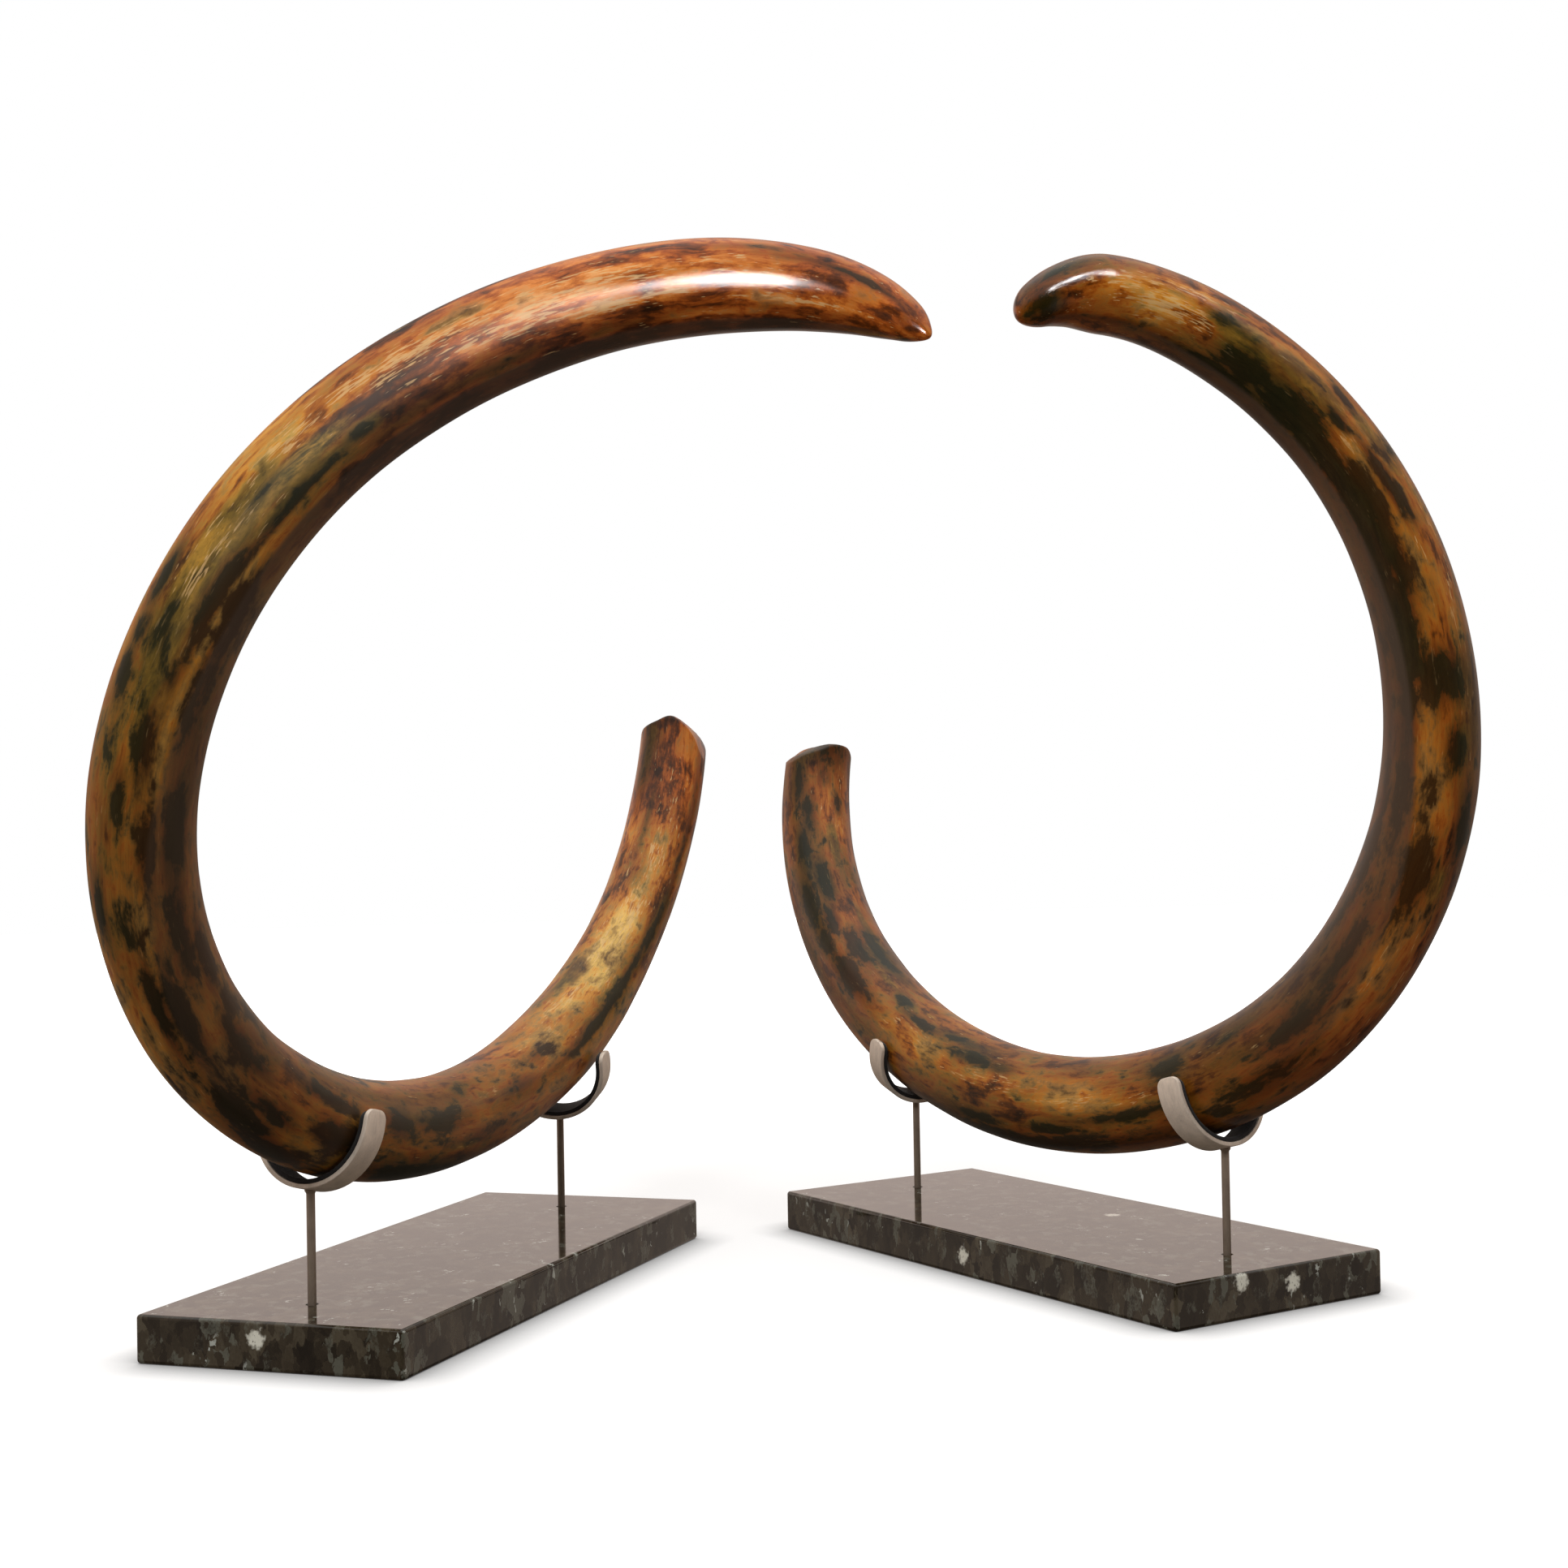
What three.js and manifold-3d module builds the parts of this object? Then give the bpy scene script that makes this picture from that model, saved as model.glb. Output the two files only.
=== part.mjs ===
// A pair of woolly mammoth tusks. Each tusk lies in two lined steel cradles, and each cradle
// stands on a thin post in a polished stone slab. Millimetres, +Z up, the viewer is at -Y.
// The origin is on the floor, under the middle of the box around the whole pair.

import * as THREE from "three";
import { NURBSCurve } from "three/addons/curves/NURBSCurve.js";
import { mergeVertices } from "three/addons/utils/BufferGeometryUtils.js";
import Module from "manifold-3d";

const wasm = await Module();
wasm.setup();

// Touching pieces keep this gap.
const GAP = 0.3;

// Stone slabs, one under each tusk, turned so that they draw together at the back
const SLAB = { width: 184, length: 460, height: 30, chamfer: 1.2 };
const SLAB_CENTRE = { x: 219, y: 10.2 };
const SLAB_TURN = { left: 25.9, right: 25.6 };

// Posts, at the same distance in front of and behind the middle of each slab
const POST = { diameter: 5.4, fromMiddle: 179, depthInSlab: 20, top: 100.5 };
const HOLE_MOUTH = { diameter: 8.4, depth: 1.2 };

// Cradles: a steel strap bent to a U, with a dark lining inside. Each leans to follow the tusk.
const CRADLE = { radius: 42, arm: 9.5, turn: 6, slope: 15 };
const STRAP = { width: 20, thickness: 3, corner: 7 };
const LINING = { width: 19, thickness: 2.7, corner: 6.5, short: 1.5 };

// The tusks' centre lines, root to tip. Each point is [toward the back of the stand,
// inward to the other tusk, up from the floor].
const LEFT_LINE = [
  [448, -10, 413], [431, -7, 355], [360, -5, 253], [199, 0, 158],
  [22, 3, 115], [-159, 1, 126], [-324, 2, 208], [-412, 28, 355],
  [-387, 111, 525], [-305, 271, 622], [-276, 395, 609], [-304, 440, 574],
];
const RIGHT_LINE = [
  [449, -89, 394], [445, -76, 339], [383, -43, 249], [241, -8, 165],
  [81, 13, 118], [-90, 17, 112], [-250, -13, 169], [-335, -50, 312],
  [-325, -42, 488], [-267, 38, 624], [-232, 156, 658], [-247, 208, 624],
];

// Diameters along the tusks: [fraction of the length, diameter]
const LEFT_GIRTH = [
  [0, 57.5], [0.05, 59.3], [0.1, 59], [0.15, 60.3], [0.2, 64], [0.25, 66.4], [0.3, 65],
  [0.35, 64.5], [0.4, 65.5], [0.46, 65.1], [0.53, 61.4], [0.6, 57.8], [0.7, 56], [0.8, 54.9],
  [0.88, 52.6], [0.92, 49.5], [0.95, 43], [0.975, 31.3], [0.99, 19.9], [1, 11.8],
];
const RIGHT_GIRTH = [
  [0, 58.5], [0.05, 61.8], [0.1, 63.8], [0.15, 65.6], [0.2, 68.4], [0.25, 69], [0.3, 69],
  [0.4, 68.1], [0.5, 66.5], [0.6, 63.5], [0.7, 59.6], [0.8, 54.6], [0.88, 51.7], [0.92, 49.4],
  [0.95, 48.4], [0.972, 37.3], [0.987, 27.6], [1, 19.3],
];

// How far the broken root end falls away: [place across the end, drop], from the outward
// edge at -1 to the inward edge at +1
const LEFT_ROOT = [[-1, 12], [-0.8, 8], [-0.2, 4], [0.2, 0], [0.6, 7], [0.85, 17], [1, 32]];
const RIGHT_ROOT = [[-1, 15], [-0.8, 6], [-0.4, 0], [0.1, 2], [0.5, 10], [0.85, 17], [1, 22]];

// The tip past the end of the centre line, and the length over which it rounds off
const TIP = { past: 8, round: 20 };

// Facets of a tusk
const SIDES = 18;
const ROOT_RINGS = 5;
const BODY_RINGS = 74;
const TIP_RINGS = [0.3, 0.55, 0.75, 0.9, 0.975];
const ROOT_CAP_RINGS = [0.93, 0.72, 0.4];
const ROOT_ZONE = 60;
const STATIONS = 240;

const IVORY = new THREE.MeshStandardMaterial({ color: 0x6b3d1c, roughness: 0.22, metalness: 0 });
const STONE = new THREE.MeshStandardMaterial({ color: 0x2b2c29, roughness: 0.12, metalness: 0 });
const STEEL = new THREE.MeshStandardMaterial({ color: 0xa39b90, roughness: 0.35, metalness: 1 });
const FELT = new THREE.MeshStandardMaterial({ color: 0x17181a, roughness: 0.95, metalness: 0 });

// A closed mesh from points and triangles
function closedGeometry(points, triangles) {
  const geometry = new THREE.BufferGeometry();
  const flat = points.flatMap((point) => [point.x, point.y, point.z]);
  geometry.setAttribute("position", new THREE.Float32BufferAttribute(flat, 3));
  geometry.setIndex(triangles.flat());
  geometry.computeVertexNormals();
  return geometry;
}

// Triangles of a skin over rings with the same number of points, open at both ends
function skin(ringCount, ringSize) {
  const triangles = [];
  for (let ring = 0; ring < ringCount - 1; ring += 1) {
    for (let i = 0; i < ringSize; i += 1) {
      const next = (i + 1) % ringSize;
      const a = ring * ringSize + i;
      const b = ring * ringSize + next;
      const c = a + ringSize;
      const d = b + ringSize;
      triangles.push([a, b, c], [b, d, c]);
    }
  }
  return triangles;
}

// Reads a value between the rows of a [place, value] list, along a smooth curve.
function reader(rows) {
  const places = rows.map((row) => row[0]);
  const values = rows.map((row) => row[1]);
  const curve = new THREE.CubicInterpolant(places, values, 1, new Float64Array(1));
  return (place) => curve.evaluate(THREE.MathUtils.clamp(place, places[0], places.at(-1)))[0];
}

// The smooth curve that the control points of a centre line pull along
function centreLine(rows, side) {
  const degree = 3;
  const spans = rows.length - degree;
  const knots = [0, 0, 0];
  for (let i = 0; i <= spans; i += 1) {
    knots.push(i / spans);
  }
  knots.push(1, 1, 1);
  const points = rows.map(([back, inward, up]) => new THREE.Vector4(side * inward, back, up, 1));
  return new NURBSCurve(degree, knots, points);
}

// Gives the point at a distance along a centre line and at (inward, over) across it. The inward
// direction is carried along the curve without twisting.
function tuskFrame(curve, side) {
  const length = curve.getLength();
  const frames = [];
  let inward = new THREE.Vector3(side, 0, 0);
  for (let i = 0; i <= STATIONS; i += 1) {
    const tangent = curve.getTangentAt(i / STATIONS);
    inward = inward.clone().addScaledVector(tangent, -inward.dot(tangent)).normalize();
    const over = new THREE.Vector3().crossVectors(tangent, inward);
    frames.push({ point: curve.getPointAt(i / STATIONS), tangent, inward, over });
  }
  const place = (distance, across, above) => {
    const steps = (THREE.MathUtils.clamp(distance, 0, length) / length) * STATIONS;
    const index = Math.min(Math.floor(steps), STATIONS - 1);
    const from = frames[index];
    const to = frames[index + 1];
    const part = steps - index;
    const beyond = distance - THREE.MathUtils.clamp(distance, 0, length);
    const mix = (name) => from[name].clone().lerp(to[name], part);
    return mix("point")
      .addScaledVector(mix("tangent"), beyond)
      .addScaledVector(mix("inward"), across)
      .addScaledVector(mix("over"), above);
  };
  return { length, place };
}

// Slow swells that keep the section from being a perfect circle
function swell(fraction, angle) {
  const oval = 0.006 * Math.cos(2 * angle + 5 * fraction);
  const bumps = 0.005 * Math.cos(3 * angle - 17 * fraction) * Math.sin(31 * fraction);
  return 1 + oval + bumps;
}

function tuskGeometry(line, girth, root, side) {
  const { length, place } = tuskFrame(centreLine(line, side), side);
  const diameter = reader(girth);
  const rootDrop = reader(root);
  const full = length + TIP.past;
  const points = [];

  // A ring at (distance from the root, share of the radius) for each angle
  const addRing = (distanceAt, share) => {
    for (let i = 0; i < SIDES; i += 1) {
      const angle = (2 * Math.PI * i) / SIDES;
      const distance = distanceAt(angle);
      const fraction = THREE.MathUtils.clamp(distance / full, 0, 1);
      const toTip = Math.min((full - distance) / TIP.round, 1);
      const rounding = Math.sqrt(1 - (1 - toTip) ** 2);
      const radius = 0.5 * diameter(fraction) * rounding * share * swell(fraction, angle);
      points.push(place(distance, radius * Math.cos(angle), radius * Math.sin(angle)));
    }
  };

  // Root end, from its middle out to the broken rim
  const dropAt = (angle, share) => rootDrop(share * Math.cos(angle));
  const crown = 3;
  const capDepth = (angle, share) => dropAt(angle, share) + crown * share ** 6;
  points.push(place(rootDrop(0), 0, 0));
  for (const share of [...ROOT_CAP_RINGS].reverse()) {
    addRing((angle) => capDepth(angle, share), share);
  }
  addRing((angle) => capDepth(angle, 1), 1);

  // From the rim to the first ring that is square to the centre line
  for (let i = 1; i <= ROOT_RINGS; i += 1) {
    const part = i / ROOT_RINGS;
    addRing((angle) => THREE.MathUtils.lerp(capDepth(angle, 1), ROOT_ZONE, part), 1);
  }

  // The long body, then the rounding of the tip
  const bodyEnd = full - TIP.round;
  for (let i = 1; i <= BODY_RINGS; i += 1) {
    addRing(() => THREE.MathUtils.lerp(ROOT_ZONE, bodyEnd, i / BODY_RINGS), 1);
  }
  for (const part of TIP_RINGS) {
    addRing(() => bodyEnd + part * TIP.round, 1);
  }
  points.push(place(full, 0, 0));

  // Fans close the two ends, and the rings between them carry the skin.
  const ringCount = (points.length - 2) / SIDES;
  const last = points.length - 1;
  const triangles = skin(ringCount, SIDES).map((corners) => corners.map((index) => index + 1));
  for (let i = 0; i < SIDES; i += 1) {
    const next = (i + 1) % SIDES;
    const lastRing = last - SIDES;
    triangles.push([0, 1 + next, 1 + i], [last, lastRing + i, lastRing + next]);
  }
  return closedGeometry(points, triangles);
}

// A band bent to a U in the XZ plane and reaching across it along Y. Its outside has the given
// radius around the origin, its arms rise past the centre, and its ends have rounded corners.
function bandGeometry({ radius, arm, width, thickness, corner }) {
  const cornerSteps = [0, 0.08, 0.25, 0.55, 1];
  const bendSteps = 18;
  const stops = [];
  for (const step of cornerSteps) {
    stops.push({ x: -1, z: 0, lift: arm - corner * step, fromEnd: corner * step });
  }
  for (let i = 0; i <= bendSteps; i += 1) {
    const angle = Math.PI * (i / bendSteps);
    stops.push({ x: -Math.cos(angle), z: -Math.sin(angle), lift: 0, fromEnd: corner });
  }
  for (const step of [...cornerSteps].reverse()) {
    stops.push({ x: 1, z: 0, lift: arm - corner * step, fromEnd: corner * step });
  }
  const points = [];
  for (const { x, z, lift, fromEnd } of stops) {
    const cut = corner - Math.sqrt(corner ** 2 - (corner - fromEnd) ** 2);
    const half = 0.5 * width - cut;
    for (const [depth, y] of [[0, half], [thickness, half], [thickness, -half], [0, -half]]) {
      points.push(new THREE.Vector3((radius - depth) * x, y, (radius - depth) * z + lift));
    }
  }
  const last = points.length - 4;
  const triangles = skin(stops.length, 4);
  triangles.push([0, 2, 1], [0, 3, 2], [last, last + 1, last + 2], [last, last + 2, last + 3]);
  return closedGeometry(points, triangles);
}

// A geometry as a manifold solid, and back
function solidOf(geometry) {
  const bare = geometry.clone();
  bare.deleteAttribute("normal");
  bare.deleteAttribute("uv");
  const merged = mergeVertices(bare, 1e-4);
  const vertProperties = new Float32Array(merged.attributes.position.array);
  const triVerts = new Uint32Array(merged.index.array);
  return new wasm.Manifold(new wasm.Mesh({ numProp: 3, vertProperties, triVerts }));
}

function geometryOf(solid) {
  const { vertProperties, triVerts } = solid.getMesh();
  const geometry = new THREE.BufferGeometry();
  geometry.setAttribute("position", new THREE.BufferAttribute(vertProperties, 3));
  geometry.setIndex(new THREE.BufferAttribute(triVerts, 1));
  geometry.computeVertexNormals();
  return geometry;
}

// The tool that drills a post's hole: a flat bottom, straight walls and a countersunk mouth
function drillGeometry() {
  const radius = 0.5 * POST.diameter + GAP;
  const mouth = 0.5 * HOLE_MOUTH.diameter;
  const profile = [
    new THREE.Vector2(0, SLAB.height - POST.depthInSlab),
    new THREE.Vector2(radius, SLAB.height - POST.depthInSlab),
    new THREE.Vector2(radius, SLAB.height - HOLE_MOUTH.depth),
    new THREE.Vector2(mouth, SLAB.height),
    new THREE.Vector2(mouth, SLAB.height + 1),
    new THREE.Vector2(0, SLAB.height + 1),
  ];
  return new THREE.LatheGeometry(profile, 24).rotateX(0.5 * Math.PI);
}

// A slab with all its edges chamfered and its two post holes drilled
function slabGeometry() {
  const { width, length, height, chamfer } = SLAB;
  const x = 0.5 * width - chamfer;
  const y = 0.5 * length - chamfer;
  const outline = new THREE.Shape([
    new THREE.Vector2(-x, -y), new THREE.Vector2(x, -y), new THREE.Vector2(x, y), new THREE.Vector2(-x, y),
  ]);
  const block = new THREE.ExtrudeGeometry(outline, {
    depth: height - 2 * chamfer,
    bevelThickness: chamfer,
    bevelSize: chamfer,
    bevelSegments: 1,
    steps: 1,
  }).translate(0, 0, chamfer);
  let solid = solidOf(block);
  for (const end of [-1, 1]) {
    solid = solid.subtract(solidOf(drillGeometry().translate(0, end * POST.fromMiddle, 0)));
  }
  return geometryOf(solid);
}

// The lean of a cradle at the front (end -1) or back (end 1) of a stand. Its outer side is
// turned outward, and it rises away from the middle of the slab.
function cradleTurn(end, side) {
  const turn = THREE.MathUtils.degToRad(CRADLE.turn);
  const slope = THREE.MathUtils.degToRad(CRADLE.slope);
  const spin = new THREE.Quaternion().setFromAxisAngle(new THREE.Vector3(0, 0, 1), end * side * turn);
  const tilt = new THREE.Quaternion().setFromAxisAngle(new THREE.Vector3(1, 0, 0), end * slope);
  return spin.multiply(tilt);
}

// The middle of a cradle's bend: its strap's underside meets the top of the post.
function cradleCentre(end, side) {
  const up = new THREE.Vector3(0, 0, 1).applyQuaternion(cradleTurn(end, side));
  const foot = new THREE.Vector3(0, end * POST.fromMiddle, POST.top);
  return foot.addScaledVector(up, CRADLE.radius);
}

// A post, whose top is cut to the underside of the leaning strap
function postGeometry(end, side) {
  const bottom = SLAB.height - POST.depthInSlab + GAP;
  const height = POST.top + POST.diameter - bottom;
  const rod = new THREE.CylinderGeometry(0.5 * POST.diameter, 0.5 * POST.diameter, height, 16)
    .rotateX(0.5 * Math.PI)
    .translate(0, end * POST.fromMiddle, bottom + 0.5 * height);
  const centre = cradleCentre(end, side);
  const round = new THREE.CylinderGeometry(CRADLE.radius + GAP, CRADLE.radius + GAP, 60, 144)
    .applyQuaternion(cradleTurn(end, side))
    .translate(centre.x, centre.y, centre.z);
  return geometryOf(solidOf(rod).subtract(solidOf(round)));
}

function named(name, geometry, material) {
  const mesh = new THREE.Mesh(geometry, material);
  mesh.name = name;
  return mesh;
}

// One stand with its tusk. side is 1 for the left tusk and -1 for the right one.
function standWithTusk(label, side, line, girth, root) {
  const stand = new THREE.Group();
  stand.position.set(-side * SLAB_CENTRE.x, -side * SLAB_CENTRE.y, 0);
  stand.rotation.z = -side * THREE.MathUtils.degToRad(SLAB_TURN[label]);
  stand.add(named(`${label}_slab`, slabGeometry(), STONE));
  stand.add(named(`${label}_tusk`, tuskGeometry(line, girth, root, side), IVORY));

  for (const [place, end] of [["front", -1], ["back", 1]]) {
    stand.add(named(`${label}_${place}_post`, postGeometry(end, side), STEEL));
    const cradle = new THREE.Group();
    cradle.position.copy(cradleCentre(end, side));
    cradle.quaternion.copy(cradleTurn(end, side));
    const strap = bandGeometry({ ...STRAP, radius: CRADLE.radius, arm: CRADLE.arm });
    const lining = bandGeometry({
      ...LINING,
      radius: CRADLE.radius - STRAP.thickness - GAP,
      arm: CRADLE.arm - LINING.short,
    });
    cradle.add(named(`${label}_${place}_cradle`, strap, STEEL));
    cradle.add(named(`${label}_${place}_lining`, lining, FELT));
    stand.add(cradle);
  }
  return stand;
}

const pair = new THREE.Group();
pair.add(standWithTusk("left", 1, LEFT_LINE, LEFT_GIRTH, LEFT_ROOT));
pair.add(standWithTusk("right", -1, RIGHT_LINE, RIGHT_GIRTH, RIGHT_ROOT));

// Bring the middle of the pair's box over the origin.
const box = new THREE.Box3().setFromObject(pair, true);
const middle = box.getCenter(new THREE.Vector3());
pair.position.set(-middle.x, -middle.y, 0);

export default pair;
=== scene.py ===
# A pair of polished woolly mammoth tusks in lined steel cradles on dark stone slabs.
# Metres, +Z up, the viewer is at -Y.

import math

import bpy
import numpy as np
from mathutils import Matrix, Vector, noise


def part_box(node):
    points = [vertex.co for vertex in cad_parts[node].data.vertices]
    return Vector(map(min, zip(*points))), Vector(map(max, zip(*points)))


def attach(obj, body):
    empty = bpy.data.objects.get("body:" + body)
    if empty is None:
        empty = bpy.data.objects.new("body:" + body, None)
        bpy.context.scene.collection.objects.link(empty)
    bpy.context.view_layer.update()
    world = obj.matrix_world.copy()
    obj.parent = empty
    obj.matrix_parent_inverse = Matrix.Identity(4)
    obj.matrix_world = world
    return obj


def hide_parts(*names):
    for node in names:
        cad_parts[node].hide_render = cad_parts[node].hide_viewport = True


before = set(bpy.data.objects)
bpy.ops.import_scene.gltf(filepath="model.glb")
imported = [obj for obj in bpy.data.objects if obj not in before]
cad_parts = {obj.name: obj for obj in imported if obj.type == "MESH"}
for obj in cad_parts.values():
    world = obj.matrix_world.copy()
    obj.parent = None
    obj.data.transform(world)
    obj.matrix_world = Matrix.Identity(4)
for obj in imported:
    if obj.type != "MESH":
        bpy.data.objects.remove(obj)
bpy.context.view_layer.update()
SCENE = bpy.context.scene

# Stands: a side is 1 on the left and -1 on the right. Turns and slopes are in degrees.
SIDES = {"left": 1, "right": -1}
STAND_TURN = {"left": 25.9, "right": 25.6}
STAND_CENTRE = (0.219, 0.0102)
SLAB = {"width": 0.184, "length": 0.46, "height": 0.03, "rounding": 0.0024}
POST = {"radius": 0.0027, "from_middle": 0.179, "bottom": 0.0103, "top": 0.1005}
HOLE = {"radius": 0.003, "mouth": 0.0042, "mouth_depth": 0.0012, "depth": 0.02}
CRADLE = {"radius": 0.042, "arm": 0.0095, "turn": 6, "slope": 15}
STRAP = {"width": 0.02, "thickness": 0.003, "corner": 0.007, "edge": 0.0006}
LINING = {"width": 0.019, "thickness": 0.0027, "corner": 0.0065, "edge": 0.0005}
LINING_SHORT = 0.0015
GAP = 0.0003
BEND_STEPS = 64
BAND_GRAIN_STEP = 0.002
POST_SIDES = 40
DRILL_SIDES = 48
POST_CHAMFER = 0.0003
# The bead where a post meets its strap: (distance past the post's radius, height over the post's top)
WELD_BEAD = [
    (0.0, -0.0022), (0.0002, -0.0014), (0.0008, -0.0006), (0.0011, 0.0002), (0.0009, 0.0008),
]
WELD_TOP = 0.001
# The drill stands this far out of the slab. Slab edges stay sharp from this angle up, and faces
# larger than this, in square metres, stay flat.
DRILL_ABOVE = 0.001
SHARP_ANGLE = 24
LARGE_FACE = 0.001

# The tusks' centre lines, root to tip. Each point is (toward the back of the stand,
# inward to the other tusk, up from the floor).
CENTRE_LINE = {
    "left": [
        (0.448, -0.010, 0.413), (0.431, -0.007, 0.355), (0.360, -0.005, 0.253),
        (0.199, 0.000, 0.158), (0.022, 0.003, 0.115), (-0.159, 0.001, 0.126),
        (-0.324, 0.002, 0.208), (-0.412, 0.028, 0.355), (-0.387, 0.111, 0.525),
        (-0.305, 0.271, 0.622), (-0.276, 0.395, 0.609), (-0.304, 0.440, 0.574),
    ],
    "right": [
        (0.449, -0.089, 0.394), (0.445, -0.076, 0.339), (0.383, -0.043, 0.249),
        (0.241, -0.008, 0.165), (0.081, 0.013, 0.118), (-0.090, 0.017, 0.112),
        (-0.250, -0.013, 0.169), (-0.335, -0.050, 0.312), (-0.325, -0.042, 0.488),
        (-0.267, 0.038, 0.624), (-0.232, 0.156, 0.658), (-0.247, 0.208, 0.624),
    ],
}

# Diameters along the tusks: (fraction of the length, diameter)
GIRTH = {
    "left": [
        (0, 0.0575), (0.05, 0.0593), (0.1, 0.059), (0.15, 0.0603), (0.2, 0.064), (0.25, 0.0664),
        (0.3, 0.065), (0.35, 0.0645), (0.4, 0.0655), (0.46, 0.0651), (0.53, 0.0614), (0.6, 0.0578),
        (0.7, 0.056), (0.8, 0.0549), (0.88, 0.0526), (0.92, 0.0495), (0.95, 0.043), (0.975, 0.0313),
        (0.99, 0.0199), (1, 0.0118),
    ],
    "right": [
        (0, 0.0585), (0.05, 0.0618), (0.1, 0.0638), (0.15, 0.0656), (0.2, 0.0684), (0.25, 0.069),
        (0.3, 0.069), (0.4, 0.0681), (0.5, 0.0665), (0.6, 0.0635), (0.7, 0.0596), (0.8, 0.0546),
        (0.88, 0.0517), (0.92, 0.0494), (0.95, 0.0484), (0.972, 0.0373), (0.987, 0.0276), (1, 0.0193),
    ],
}

# How far the broken root end falls away, from the outward edge at -1 to the inward edge at +1
ROOT_DROP = {
    "left": [(-1, 0.012), (-0.8, 0.008), (-0.2, 0.004), (0.2, 0), (0.6, 0.007), (0.85, 0.017), (1, 0.032)],
    "right": [(-1, 0.015), (-0.8, 0.006), (-0.4, 0), (0.1, 0.002), (0.5, 0.01), (0.85, 0.017), (1, 0.022)],
}
# The drop has faded out this far along. The rim falls away by the crown more, so the end is domed.
ROOT_ZONE = 0.06
ROOT_CROWN = 0.003
ROOT_SHARES = (0.12, 0.3, 0.5, 0.68, 0.82, 0.9, 0.95, 0.98, 1.0)
# The tip ends this far past the centre line, and rounds off over TIP_ROUND.
TIP_PAST = 0.008
TIP_ROUND = 0.02

# How finely a tusk is divided
CURVE_SAMPLES = 4001
STATIONS = 480
TUSK_SIDES = 128
ROOT_RINGS = 24
BODY_RINGS = 619
TIP_RINGS = 14

# Low relief: heights of the wide bumps and of the furrows, and where each tusk reads the noise
BUMP_HEIGHT = 0.00034
FURROW_HEIGHT = 0.00013
RELIEF_SHIFT = {"left": 3.0, "right": 11.0}
GRAIN_SHIFT = {"left": 0.0, "right": 7.0}

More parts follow.
